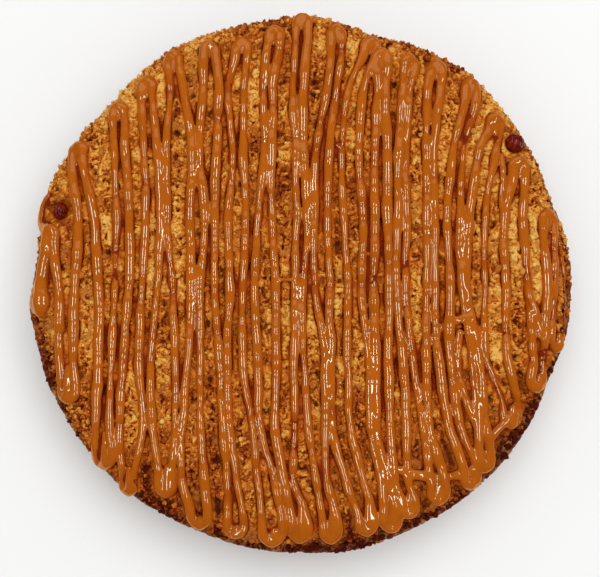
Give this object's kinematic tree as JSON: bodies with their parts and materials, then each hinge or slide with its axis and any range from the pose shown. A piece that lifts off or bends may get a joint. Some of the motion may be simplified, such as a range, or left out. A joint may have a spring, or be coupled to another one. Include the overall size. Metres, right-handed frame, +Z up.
{
  "type": "dutch apple pie",
  "caption": "Round dutch apple pie out of its tin: pastry case, domed streusel crumb and thick caramel drizzled back and forth across it.",
  "frame": {"origin": "centre of the pie's footprint on the surface that it stands on", "axes": "+Z up through the crumb, +X to the right and +Y to the back as the picture looks down on it; the drizzle runs along Y"},
  "size_m": [0.2523, 0.2517, 0.0531],
  "materials": {
    "pastry": "baked pastry, brown with darker edges, matt",
    "crumb": "golden brown streusel crumb, rough and matt",
    "caramel": "set caramel, smooth and glossy, slightly translucent",
    "berry": "cooked dark red fruit, wet gloss"
  },
  "bodies": {
    "root": {"pastry_case": "pastry", "crumb_topping": "crumb", "berry_right": "berry", "berry_left": "berry"}
  },
  "joints": []
}
